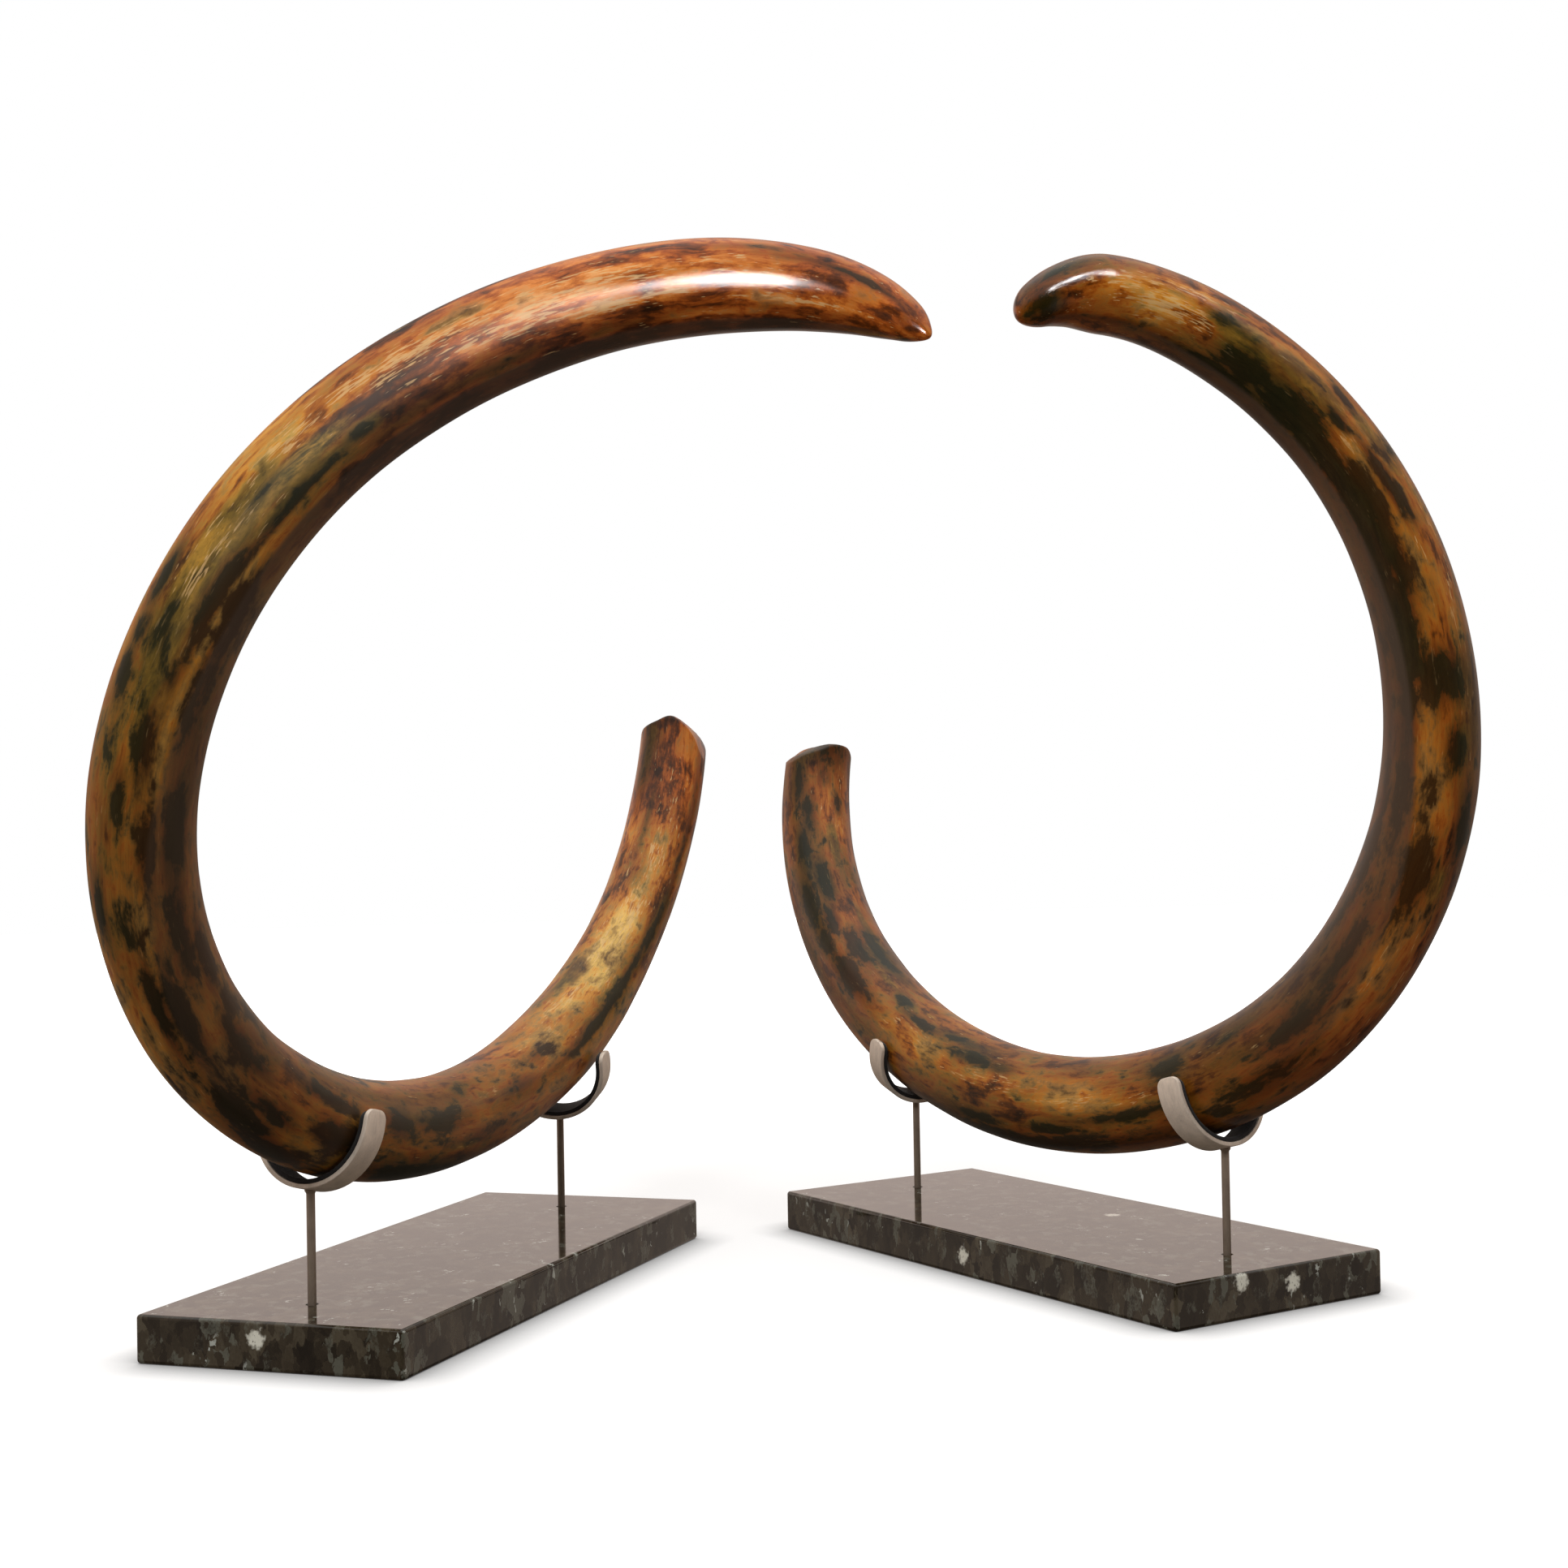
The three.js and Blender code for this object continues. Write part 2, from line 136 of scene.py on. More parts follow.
# Markings, each (along from the root, angle around, half length, half angle, strength).
# Angles are in degrees: 0 is toward the other tusk.
DARK_MARKS = {
    "left": [
        (0.080, 88, 0.060, 5, 0.5), (0.040, 112, 0.040, 22, 0.7), (0.170, 12, 0.120, 8, 0.7),
        (0.320, 18, 0.120, 6, 0.7), (0.425, 14, 0.050, 5, 0.5), (0.470, 42, 0.018, 12, 0.45),
        (0.520, 20, 0.030, 8, 0.4), (0.580, 345, 0.030, 8, 0.5), (0.655, 303, 0.045, 11, 0.9),
        (0.600, 292, 0.030, 10, 0.7), (0.695, 8, 0.014, 12, 0.8), (0.640, 8, 0.030, 10, 0.55),
        (0.790, 8, 0.030, 7, 0.65), (0.795, 282, 0.030, 11, 1.0), (0.838, 294, 0.022, 9, 1.0),
        (0.765, 335, 0.020, 12, 0.7), (0.830, 320, 0.022, 8, 0.55), (0.885, 344, 0.026, 9, 0.7),
        (0.940, 284, 0.028, 6, 0.7), (0.930, 305, 0.030, 8, 0.6), (0.985, 330, 0.030, 10, 0.65),
        (0.960, 352, 0.022, 8, 0.7), (1.000, 242, 0.012, 7, 0.7), (1.035, 300, 0.022, 9, 0.7),
        (1.045, 330, 0.030, 12, 0.6), (1.060, 268, 0.012, 6, 0.5), (1.090, 285, 0.016, 8, 0.6),
        (1.118, 236, 0.010, 8, 0.8), (1.140, 238, 0.008, 9, 0.7), (1.168, 234, 0.014, 8, 0.9),
        (1.150, 262, 0.012, 5, 0.6), (1.165, 298, 0.035, 8, 0.95), (1.222, 305, 0.040, 6, 0.9),
        (1.228, 275, 0.012, 4, 0.8), (1.288, 301, 0.012, 7, 0.8), (1.150, 325, 0.060, 12, 0.7),
        (1.368, 274, 0.008, 4, 0.6), (1.580, 243, 0.034, 7, 0.95), (1.612, 250, 0.006, 40, 0.4),
        (1.520, 232, 0.050, 6, 0.35), (1.340, 318, 0.120, 8, 0.4),
    ],
    "right": [
        (0.008, 300, 0.020, 60, 0.7), (0.040, 290, 0.014, 9, 0.5), (0.075, 265, 0.014, 8, 0.6),
        (0.090, 318, 0.022, 10, 0.6), (0.045, 335, 0.030, 12, 0.6), (0.180, 311, 0.022, 9, 1.0),
        (0.130, 332, 0.026, 9, 0.75), (0.235, 322, 0.018, 7, 0.7), (0.285, 310, 0.020, 9, 0.9),
        (0.205, 345, 0.026, 10, 0.7), (0.305, 288, 0.028, 7, 0.95), (0.325, 343, 0.034, 12, 0.8),
        (0.255, 345, 0.016, 8, 0.6), (0.395, 311, 0.012, 6, 0.6), (0.440, 322, 0.026, 6, 0.75),
        (0.495, 316, 0.028, 5, 0.7), (0.522, 331, 0.022, 8, 0.75), (0.562, 336, 0.012, 7, 0.6),
        (0.610, 66, 0.110, 13, 0.9), (0.540, 44, 0.030, 7, 0.7), (0.625, 44, 0.026, 7, 0.7),
        (0.740, 350, 0.014, 12, 0.7), (0.700, 33, 0.050, 5, 0.5), (0.812, 60, 0.026, 14, 0.6),
        (0.800, 350, 0.020, 7, 0.5), (0.845, 30, 0.024, 12, 0.6), (0.905, 22, 0.030, 8, 0.55),
        (0.965, 58, 0.024, 14, 0.8), (0.995, 98, 0.020, 9, 0.8), (1.000, 350, 0.060, 6, 0.5),
        (1.042, 78, 0.010, 12, 0.8), (1.085, 62, 0.012, 26, 0.95), (1.060, 18, 0.060, 9, 0.7),
        (1.125, 24, 0.040, 15, 1.0), (1.180, 24, 0.050, 12, 1.0), (1.160, 42, 0.022, 12, 0.9),
        (1.205, 46, 0.026, 12, 0.85),
        (1.210, 74, 0.020, 7, 0.9), (1.192, 83, 0.012, 4, 0.8), (1.282, 36, 0.024, 16, 1.0),
        (1.235, 26, 0.080, 13, 1.0), (1.255, 69, 0.008, 6, 0.8), (1.262, 101, 0.008, 5, 0.8),
        (1.322, 36, 0.018, 18, 0.9), (1.350, 78, 0.012, 9, 0.6), (1.425, 20, 0.060, 8, 0.5),
        (1.486, 80, 0.010, 60, 0.75), (1.470, 130, 0.020, 14, 0.8), (1.340, 12, 0.060, 7, 0.7),
    ],
}
OLIVE_MARKS = {
    "left": [
        (0.338, 90, 0.032, 14, 1.0), (0.290, 88, 0.030, 10, 0.5), (0.500, 47, 0.022, 10, 0.5),
        (0.600, 338, 0.034, 9, 0.8), (0.660, 14, 0.040, 12, 0.6), (0.775, 330, 0.030, 14, 0.7),
        (0.860, 340, 0.050, 16, 0.6), (0.930, 300, 0.040, 14, 0.7), (1.010, 262, 0.040, 10, 0.4),
        (1.080, 290, 0.040, 14, 0.7), (1.122, 282, 0.016, 9, 0.8), (1.180, 272, 0.070, 26, 1.0),
        (1.125, 285, 0.050, 20, 0.8),
        (1.245, 282, 0.040, 14, 0.9), (1.230, 300, 0.060, 9, 0.8), (1.290, 298, 0.012, 8, 0.6),
        (1.360, 250, 0.030, 6, 0.5), (1.340, 240, 0.040, 8, 0.3), (1.030, 340, 0.050, 14, 0.6),
    ],
    "right": [
        (0.125, 282, 0.030, 11, 0.9), (0.255, 278, 0.050, 8, 0.8), (0.355, 306, 0.036, 9, 0.6),
        (0.400, 312, 0.022, 7, 0.7), (0.325, 342, 0.026, 10, 0.7), (0.430, 306, 0.030, 6, 0.5),
        (0.520, 332, 0.030, 10, 0.6), (0.560, 52, 0.040, 10, 0.3), (0.962, 84, 0.014, 12, 0.8),
        (0.985, 40, 0.020, 10, 0.4), (1.040, 86, 0.020, 14, 0.6), (1.235, 96, 0.034, 8, 1.0),
        (1.285, 78, 0.034, 16, 1.0), (1.330, 72, 0.024, 22, 0.9), (1.342, 46, 0.012, 9, 0.6),
        (1.190, 105, 0.030, 8, 0.5), (1.310, 60, 0.014, 9, 0.5), (1.480, 110, 0.012, 30, 0.4),
    ],
}
PALE_MARKS = {
    "left": [
        (0.160, 58, 0.050, 16, 0.7), (0.235, 62, 0.060, 16, 0.8), (0.285, 78, 0.034, 12, 0.8),
        (0.330, 48, 0.022, 10, 0.6), (0.390, 72, 0.034, 16, 0.7), (0.440, 52, 0.030, 16, 0.5),
        (0.560, 28, 0.020, 16, 0.3), (0.900, 266, 0.030, 8, 0.3), (1.180, 270, 0.040, 16, 0.6),
        (1.250, 256, 0.030, 9, 0.6), (1.330, 258, 0.060, 12, 0.8), (1.400, 272, 0.060, 14, 0.8),
        (1.430, 292, 0.060, 7, 0.9), (1.450, 256, 0.040, 9, 0.7), (1.490, 322, 0.026, 4, 0.7),
        (1.545, 304, 0.030, 6, 0.8), (1.480, 276, 0.040, 9, 0.7), (1.365, 285, 0.020, 8, 0.8),
    ],
    "right": [
        (0.100, 266, 0.020, 8, 0.4), (0.360, 330, 0.030, 8, 0.3), (0.450, 342, 0.040, 12, 0.4),
        (0.560, 350, 0.050, 10, 0.4), (0.640, 6, 0.050, 8, 0.5), (0.680, 16, 0.050, 6, 0.5),
        (0.890, 100, 0.030, 8, 0.4), (0.990, 62, 0.020, 8, 0.3), (1.110, 96, 0.030, 10, 0.4),
        (1.180, 112, 0.030, 6, 0.5), (1.235, 60, 0.016, 8, 0.5), (1.390, 62, 0.026, 18, 1.0),
        (1.425, 80, 0.022, 18, 0.7), (1.370, 98, 0.022, 8, 0.6),
    ],
}

# Slow changes along a tusk: (along, warmth from red brown at 0 to ochre at 1,
# how much it is mottled dark, polish)
ZONES = {
    "left": [
        (0, 0.40, 0.0, 0.75), (0.08, 0.42, 0.0, 0.75), (0.14, 0.58, 0.04, 0.7),
        (0.3, 0.74, 0.14, 0.65), (0.42, 0.66, 0.14, 0.65), (0.52, 0.60, 0.16, 0.65),
        (0.7, 0.70, 0.26, 0.6), (0.9, 0.74, 0.28, 0.5), (1.05, 0.76, 0.28, 0.45),
        (1.15, 0.84, 0.18, 0.4), (1.25, 0.76, 0.06, 0.4), (1.32, 0.44, -0.04, 0.4),
        (1.4, 0.35, -0.06, 0.65), (1.46, 0.33, -0.06, 1.0), (1.62, 0.28, -0.05, 1.0),
    ],
    "right": [
        (0, 0.48, 0.10, 0.6), (0.1, 0.56, 0.16, 0.6), (0.3, 0.56, 0.24, 0.65),
        (0.4, 0.66, 0.14, 0.65), (0.6, 0.62, 0.12, 0.65), (0.75, 0.56, 0.16, 0.7),
        (0.85, 0.46, 0.22, 0.65), (1.0, 0.54, 0.22, 0.6), (1.15, 0.62, 0.22, 0.6),
        (1.3, 0.60, 0.24, 0.6), (1.36, 0.56, 0.06, 0.8), (1.40, 0.60, 0.0, 1.0),
        (1.49, 0.36, 0.12, 1.0),
    ],
}

# The grey band along the inside of the curl is a painted reflection of the pale studio, as (along, from this
# angle, to this angle, strength)
PAINTED_REFLECTION = {
    "left": [
        (0.80, 300, 395, 0.0), (0.88, 292, 395, 0.45), (1.02, 296, 395, 0.5), (1.10, 312, 390, 0.6),
        (1.16, 322, 390, 0.9), (1.30, 326, 390, 1.0), (1.45, 328, 390, 1.0), (1.58, 334, 390, 0.8),
        (1.62, 340, 390, 0.3),
    ],
    "right": [
        (0.78, 300, 400, 0.0), (0.86, 290, 425, 0.5), (0.96, 290, 405, 0.75), (1.05, 290, 387, 0.95),
        (1.15, 290, 376, 1.0), (1.28, 290, 369, 1.0), (1.36, 290, 372, 0.9), (1.42, 290, 385, 0.6),
        (1.49, 290, 395, 0.2),
    ],
}
# The painted reflection fades in and out over this many degrees.
PAINTED_REFLECTION_EDGE = 5
# How fast a marking fades away from its middle
MARK_FALL = 0.7

# The camera's place from the middle between the stands, and its turn in degrees
CAMERA = {"x": -0.153, "y": -1.602, "z": 0.324, "yaw": 8.22, "rise": 0.92, "roll": -1.05}
LENS = 51.48
SENSOR = 36
SHIFT = -0.0502


def make_object(name, points, faces, material, place=None):
    """A mesh object whose points are already where they belong, so the object itself isn't turned"""
    mesh = bpy.data.meshes.new(name)
    mesh.from_pydata([tuple(point) for point in points], [], [tuple(face) for face in faces])
    mesh.validate()
    if place is not None:
        mesh.transform(place)
    mesh.polygons.foreach_set("use_smooth", [True] * len(mesh.polygons))
    mesh.materials.append(material)
    made = bpy.data.objects.new(name, mesh)
    SCENE.collection.objects.link(made)
    return made


def hand_over(piece, cad_node):
    """The finished piece takes a CAD node's place and rides on the only body."""
    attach(piece, "root")
    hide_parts(cad_node)


# Places of the stands and cradles

slab_low, slab_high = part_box("left_slab")
# From the frame's origin to the middle between the two stands
PAIR_OFFSET = Vector((
    0.5 * (slab_low.x + slab_high.x) + STAND_CENTRE[0],
    0.5 * (slab_low.y + slab_high.y) + STAND_CENTRE[1],
    0,
))


def stand_place(label):
    side = SIDES[label]
    centre = Vector((-side * STAND_CENTRE[0], -side * STAND_CENTRE[1], 0)) + PAIR_OFFSET
    return Matrix.Translation(centre) @ Matrix.Rotation(-side * math.radians(STAND_TURN[label]), 4, "Z")


def cradle_turn(end, side):
    spin = Matrix.Rotation(end * side * math.radians(CRADLE["turn"]), 4, "Z")
    return spin @ Matrix.Rotation(end * math.radians(CRADLE["slope"]), 4, "X")


def cradle_place(label, end):
    """A cradle's place: the middle of its bend, with its arms along local Z."""
    turn = cradle_turn(end, SIDES[label])
    foot = Vector((0, end * POST["from_middle"], POST["top"]))
    centre = foot + turn.to_3x3() @ Vector((0, 0, CRADLE["radius"]))
    return stand_place(label) @ Matrix.Translation(centre) @ turn


# Shader nodes in short form


def put(tree, socket, value):
    if isinstance(value, bpy.types.NodeSocket):
        tree.links.new(value, socket)
    else:
        socket.default_value = value


def node(tree, kind, inputs=None, **settings):
    made = tree.nodes.new(kind)
    for name, value in settings.items():
        setattr(made, name, value)
    for name, value in (inputs or {}).items():
        put(tree, made.inputs[name], value)
    return made


def maths(tree, operation, first, second):
    return node(tree, "ShaderNodeMath", {0: first, 1: second}, operation=operation).outputs[0]


def vector_maths(tree, operation, first, second):
    return node(tree, "ShaderNodeVectorMath", {0: first, 1: second}, operation=operation).outputs[0]


def weighed(tree, *terms):
    """The sum of (value, weight) pairs"""
    total = 0.0
    for value, weight in terms:
        total = maths(tree, "ADD", total, maths(tree, "MULTIPLY", value, weight))
    return total


def mixed(tree, share, first, second, blend="MIX"):
    made = node(tree, "ShaderNodeMix", data_type="RGBA", blend_type=blend)
    put(tree, made.inputs[0], share)
    put(tree, made.inputs[6], first)
    put(tree, made.inputs[7], second)
    return made.outputs[2]


def window(tree, value, low, high):
    """A smooth step from 0 at low to 1 at high"""
    inputs = {"Value": value, "From Min": low, "From Max": high}
    made = node(tree, "ShaderNodeMapRange", inputs, interpolation_type="SMOOTHSTEP")
    return made.outputs["Result"]


def stretched(tree, vector, along, across):
    """The vector scaled by along in its first direction and by across in the other two"""
    return vector_maths(tree, "MULTIPLY", vector, (along, across, across))


def cloud(tree, vector, detail=4.0, roughness=0.5):
    """Noise from 0 to 1"""
    inputs = {"Vector": vector, "Scale": 1.0, "Detail": detail, "Roughness": roughness}
    return node(tree, "ShaderNodeTexNoise", inputs).outputs["Fac"]


def ramp(tree, value, stops):
    made = node(tree, "ShaderNodeValToRGB", {0: value})
    elements = made.color_ramp.elements
    while len(elements) < len(stops):
        elements.new(1.0)
    for element, (place, colour) in zip(elements, stops):
        element.position = place
        element.color = (*colour, 1.0)
    return made.outputs[0]


def new_material(name):
    material = bpy.data.materials.new(name)
    material.use_nodes = True
    tree = material.node_tree
    return material, tree, tree.nodes["Principled BSDF"]


def attribute(tree, name):
    return node(tree, "ShaderNodeAttribute", attribute_name=name)


def channels(tree, colour):
    return node(tree, "ShaderNodeSeparateColor", {0: colour}).outputs


def bump(tree, height, strength, distance, normal=None):
    inputs = {"Height": height, "Strength": strength, "Distance": distance}
    if normal is not None:
        inputs["Normal"] = normal
    return node(tree, "ShaderNodeBump", inputs).outputs[0]


def bent(tree, vector, scale, reach):
    """The vector pushed about by slow noise, so that what is drawn with it has ragged edges"""
    inputs = {"Vector": stretched(tree, vector, *scale), "Scale": 1.0, "Detail": 2.0}
    noise_colour = node(tree, "ShaderNodeTexNoise", inputs).outputs["Color"]
    centred = vector_maths(tree, "SUBTRACT", noise_colour, (0.5, 0.5, 0.5))
    moved = stretched(tree, centred, *reach)
    return vector_maths(tree, "ADD", vector, moved)


# Polished fossil ivory


def ivory_material():
    material, tree, shader = new_material("polished_ivory")
    straight = attribute(tree, "grain").outputs["Vector"]
    grain = bent(tree, straight, (30, 60), (0.020, 0.009))
    dark_mark, olive_mark, pale_mark = channels(tree, attribute(tree, "marks").outputs["Color"])
    # The zones' third channel is the painted reflection of the pale studio along the inside of the curl.
    warmth, mottling, painted_reflection = channels(tree, attribute(tree, "zones").outputs["Color"])

    drift = cloud(tree, stretched(tree, grain, 7, 26), 3.0, 0.5)
    patches = cloud(tree, stretched(tree, grain, 26, 54), 6.0, 0.64)
    tatters = cloud(tree, stretched(tree, grain, 60, 150), 5.0, 0.65)
    streak = cloud(tree, stretched(tree, grain, 20, 300), 5.0, 0.62)
    fine = cloud(tree, stretched(tree, straight, 70, 1500), 3.0, 0.6)

    # Body colour, from red brown to pale ochre
    tone = weighed(
        tree, (drift, 1.2), (patches, 1.6), (tatters, 0.9), (streak, 0.62), (warmth, 0.6), (pale_mark, 0.35),
    )
    tone = maths(tree, "SUBTRACT", tone, 2.0)
    body = ramp(tree, tone, [
        (0.12, (0.032, 0.009, 0.001)),
        (0.32, (0.118, 0.028, 0.002)),
        (0.50, (0.360, 0.084, 0.007)),
        (0.68, (0.620, 0.208, 0.026)),
        (0.90, (0.780, 0.390, 0.115)),
    ])

    # Warm stretches lean to ochre and the others to red.
    hue = ramp(tree, warmth, [(0.34, (1.02, 0.94, 1.0)), (0.72, (0.98, 1.26, 1.0))])
    body = mixed(tree, 1.0, body, hue, "MULTIPLY")

    # Olive and ochre stains
    stain = weighed(tree, (olive_mark, 0.95), (patches, 0.8), (tatters, 0.45), (streak, 0.3))
    stain = window(tree, stain, 1.05, 1.45)
    olive = ramp(tree, weighed(tree, (streak, 0.4), (tatters, 0.8)), [
        (0.46, (0.028, 0.028, 0.004)),
        (0.57, (0.130, 0.088, 0.010)),
        (0.70, (0.440, 0.240, 0.030)),
    ])
    body = mixed(tree, maths(tree, "MULTIPLY", stain, 0.9), body, olive)

    # Dark mineral mottling: a warm umber halo, and nearly black inside it
    mottle = weighed(
        tree, (dark_mark, 0.62), (mottling, 1.0), (patches, 1.5), (tatters, 0.8), (streak, 0.5),
    )
    halo = window(tree, mottle, 1.38, 1.74)
    redder = window(tree, drift, 0.44, 0.56)
    rim = mixed(tree, redder, (0.072, 0.046, 0.006, 1.0), (0.100, 0.027, 0.002, 1.0))
    body = mixed(tree, maths(tree, "MULTIPLY", halo, 0.72), body, rim)
    heart = window(tree, mottle, 1.66, 1.92)
    dark = ramp(tree, drift, [
        (0.44, (0.009, 0.011, 0.002)),
        (0.54, (0.014, 0.011, 0.002)),
        (0.66, (0.032, 0.011, 0.001)),
    ])
    body = mixed(tree, maths(tree, "MULTIPLY", heart, 0.94), body, dark)

    # Short pale flecks that run with the grain
    dashes = cloud(tree, stretched(tree, straight, 105, 900), 2.0, 0.5)
    rows = cloud(tree, stretched(tree, straight, 30, 190), 3.0, 0.5)
    flecks = weighed(tree, (dashes, 0.75), (rows, 0.45), (pale_mark, 0.24))
    flecks = window(tree, flecks, 0.75, 0.82)
    open_share = maths(tree, "SUBTRACT", 1.0, maths(tree, "MULTIPLY", halo, 0.85))
    flecks = maths(tree, "MULTIPLY", flecks, open_share)
    body = mixed(tree, maths(tree, "MULTIPLY", flecks, 0.75), body, (0.66, 0.43, 0.18, 1.0))

    # Darker lines between the fibres
    fibres = window(tree, weighed(tree, (streak, 0.6), (fine, 0.4)), 0.32, 0.56)
    lines = ramp(tree, fibres, [(0.0, (0.74, 0.70, 0.66)), (1.0, (1.0, 1.0, 1.0))])
    body = mixed(tree, 1.0, body, lines, "MULTIPLY")

    # A painted reflection: a grey mauve band along the inside of the curl, where the polish mirrors the pale
    # studio
    body = mixed(tree, maths(tree, "MULTIPLY", painted_reflection, 0.80), body, (0.072, 0.046, 0.030, 1.0))

    put(tree, shader.inputs["Base Color"], body)
    # The last stretch to the tip has the highest polish.
    gloss = attribute(tree, "zones").outputs["Alpha"]
    roughness = weighed(tree, (fine, 0.12), (flecks, 0.08), (gloss, -0.64), (0.74, 1.0))
    put(tree, shader.inputs["Roughness"], roughness)
    shader.inputs["IOR"].default_value = 1.42
    rough = bump(tree, streak, 0.16, 0.0006)
    put(tree, shader.inputs["Normal"], bump(tree, fine, 0.10, 0.0003, rough))
    return material


# Dark stone with pale flecks, and small painted glints for their faint shimmer


# Middles of the few large white crystals, in the stand's own frame
CRYSTALS = {
    "left": [(-0.0075, -0.23, 0.0196)],
    "right": [
        (-0.092, -0.0069, 0.014), (-0.0353, -0.23, 0.0242), (0.0096, -0.23, 0.0184),
        (0.0374, -0.0169, 0.03),
    ],
}
CRYSTAL_REACH = 0.0072


def granite_material():
    material, tree, shader = new_material("polished_granite")
    position = node(tree, "ShaderNodeTexCoord").outputs["Object"]
    # Crystals stand a little taller than they are wide.
    place = vector_maths(tree, "MULTIPLY", position, (1, 1, 0.6))
    warped = bent(tree, bent(tree, place, (150, 150), (0.009, 0.009)), (600, 600), (0.003, 0.003))
    clumps = cloud(tree, stretched(tree, place, 45, 45), 3.0)

    def crystals(scale):
        inputs = {"Vector": warped, "Scale": scale, "Randomness": 1.0}
        cells = node(tree, "ShaderNodeTexVoronoi", inputs, feature="F1")
        return channels(tree, cells.outputs["Color"])

    large = crystals(80.0)
    middle = crystals(170.0)
    small = crystals(420.0)
    dust = cloud(tree, stretched(tree, place, 700, 700), 4.0, 0.65)
    body = ramp(tree, weighed(tree, (large[0], 0.55), (middle[0], 0.35), (dust, 0.3)), [
        (0.10, (0.007, 0.005, 0.003)),
        (0.50, (0.020, 0.015, 0.009)),
        (0.80, (0.040, 0.031, 0.019)),
        (1.0, (0.070, 0.058, 0.038)),
    ])
    grey = window(tree, weighed(tree, (middle[1], 0.6), (clumps, 0.5), (dust, 0.35)), 0.86, 1.02)
    body = mixed(tree, maths(tree, "MULTIPLY", grey, 0.75), body, (0.105, 0.108, 0.085, 1.0))
    # Painted glints: small pale flecks in the colour stand for crystals catching the light.
    painted_glint = window(tree, weighed(tree, (small[0], 0.8), (clumps, 0.4), (large[2], 0.12)), 1.08, 1.12)
    body = mixed(tree, maths(tree, "MULTIPLY", painted_glint, 0.8), body, (0.42, 0.45, 0.41, 1.0))
    ragged = bent(tree, position, (300, 300), (0.009, 0.009))
    white = 0.0
    for label, middles in CRYSTALS.items():
        for middle in middles:
            centre = stand_place(label) @ Vector(middle)
            offset = node(tree, "ShaderNodeVectorMath", {0: ragged, 1: centre}, operation="DISTANCE")
            near = window(tree, offset.outputs["Value"], CRYSTAL_REACH, 0.5 * CRYSTAL_REACH)
            white = maths(tree, "MAXIMUM", white, near)
    white = maths(tree, "MULTIPLY", white, window(tree, dust, 0.30, 0.44))
    body = mixed(tree, white, body, (0.62, 0.62, 0.54, 1.0))
    put(tree, shader.inputs["Base Color"], body)
    put(tree, shader.inputs["Roughness"], weighed(tree, (clumps, 0.05), (0.045, 1.0)))
    shader.inputs["IOR"].default_value = 1.56
    ripple = cloud(tree, stretched(tree, place, 60, 60), 2.0)
    put(tree, shader.inputs["Normal"], bump(tree, ripple, 0.004, 0.0004))
    return material


# Satin steel


def steel_material(name, colour, roughness):
    material, tree, shader = new_material(name)
    run = attribute(tree, "grain").outputs["Vector"]
    lines = cloud(tree, stretched(tree, run, 60, 2200), 3.0, 0.6)
    stains = cloud(tree, stretched(tree, run, 60, 110), 4.0, 0.6)
    tint = ramp(tree, weighed(tree, (lines, 0.4), (stains, 0.6)), [
        (0.30, tuple(0.62 * part for part in colour)),
        (0.70, colour),
    ])
    put(tree, shader.inputs["Base Color"], tint)
    shader.inputs["Metallic"].default_value = 0.35
    put(tree, shader.inputs["Roughness"], weighed(tree, (stains, 0.18), (roughness, 1.0)))
    put(tree, shader.inputs["Normal"], bump(tree, lines, 0.12, 0.0002))
    return material


def lining_material():
    material, tree, shader = new_material("dark_lining")
    place = node(tree, "ShaderNodeTexCoord").outputs["Object"]
    fuzz = cloud(tree, stretched(tree, place, 1500, 1500), 3.0, 0.7)
    tint = ramp(tree, fuzz, [(0.3, (0.006, 0.006, 0.007)), (0.7, (0.022, 0.021, 0.021))])
    put(tree, shader.inputs["Base Color"], tint)
    shader.inputs["Roughness"].default_value = 0.85
    shader.inputs["Sheen Weight"].default_value = 0.15
    put(tree, shader.inputs["Normal"], bump(tree, fuzz, 0.6, 0.0004))
    return material


IVORY = ivory_material()
GRANITE = granite_material()
STRAP_STEEL = steel_material("strap_steel", (0.95, 0.82, 0.69), 0.36)
POST_STEEL = steel_material("post_steel", (0.46, 0.36, 0.28), 0.22)
FELT = lining_material()


# Tusks


def curve_points(controls, places):
    """Points at places from 0 to 1 on the clamped cubic curve that the controls pull along"""
    degree = 3
    count = len(controls)
    spans = count - degree
    knots = np.concatenate([np.zeros(degree), np.linspace(0, 1, spans + 1), np.ones(degree)])
    inside = np.minimum(places, 1 - 1e-9)[:, None]
    weights = ((inside >= knots[:-1]) & (inside < knots[1:])).astype(float)
    for order in range(1, degree + 1):
        left_gap = knots[order:-1] - knots[:-order - 1]
        right_gap = knots[order + 1:] - knots[1:-order]
        rising = (inside - knots[:-order - 1]) / np.where(left_gap > 0, left_gap, 1)
        falling = (knots[order + 1:] - inside) / np.where(right_gap > 0, right_gap, 1)
        weights = rising * weights[:, :-1] + falling * weights[:, 1:]
    return weights @ np.array(controls, float)


